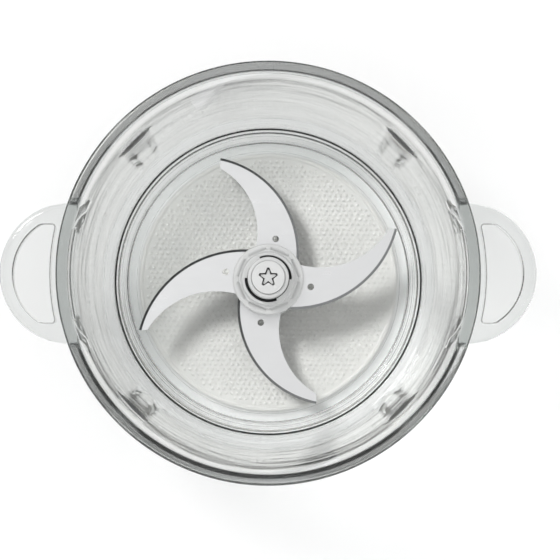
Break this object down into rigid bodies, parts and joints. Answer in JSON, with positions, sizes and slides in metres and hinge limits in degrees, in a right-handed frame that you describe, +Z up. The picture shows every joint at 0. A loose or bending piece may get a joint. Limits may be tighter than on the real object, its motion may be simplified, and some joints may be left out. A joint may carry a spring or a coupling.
{
  "type": "food processor bowl with blade unit",
  "caption": "Glass bowl of a food processor with ear handles and a lift-out rotating blade unit on a centre spindle.",
  "frame": {"origin": "on the bowl's axis, in the plane that the object stands on", "axes": "+Z up along the bowl's axis; X from ear to ear, with the upper blade's wings along it; Y across"},
  "size_m": [0.229, 0.18, 0.112],
  "materials": {
    "glass": "clear pressed glass, faint grey-green in its thickness",
    "silicone": "matt, dotted",
    "clear_rubber": "satin silicone",
    "black_rubber": "matt",
    "pin_steel": "turned stainless steel",
    "blade_steel": "satin stainless steel with a ground edge",
    "hub_plastic": "white, semi-gloss",
    "bush_plastic": "black acetal"
  },
  "bodies": {
    "bowl": {"bowl": "glass", "non_slip_pad": "silicone", "spindle_pin": "pin_steel", "pin_gasket_upper": "clear_rubber", "pin_gasket_lower": "clear_rubber", "pin_washer": "pin_steel", "pin_lock_washer": "pin_steel", "pin_nut": "pin_steel"},
    "blade_carrier": {"thrust_pad": "pin_steel"},
    "blade_rotor": {"hub_base": "hub_plastic", "foot_seal": "black_rubber", "lower_bush": "bush_plastic", "upper_bush": "bush_plastic", "hub_core": "hub_plastic", "lower_blade": "blade_steel", "blade_spacer": "hub_plastic", "upper_blade": "blade_steel", "hub_collar": "hub_plastic", "hub_seal": "black_rubber", "drive_socket": "hub_plastic", "clamp_screw_1": "pin_steel", "clamp_screw_2": "pin_steel", "clamp_screw_3": "pin_steel", "clamp_screw_4": "pin_steel"}
  },
  "joints": [
    {"name": "blade_lift", "type": "slide", "parent": "bowl", "child": "blade_carrier", "axis": [0, 0, 1], "range_m": [0, 0.13]},
    {"name": "blade_spin", "type": "hinge", "parent": "blade_carrier", "child": "blade_rotor", "pos_m": [0, 0, 0.05], "axis": [0, 0, 1], "continuous": true}
  ]
}
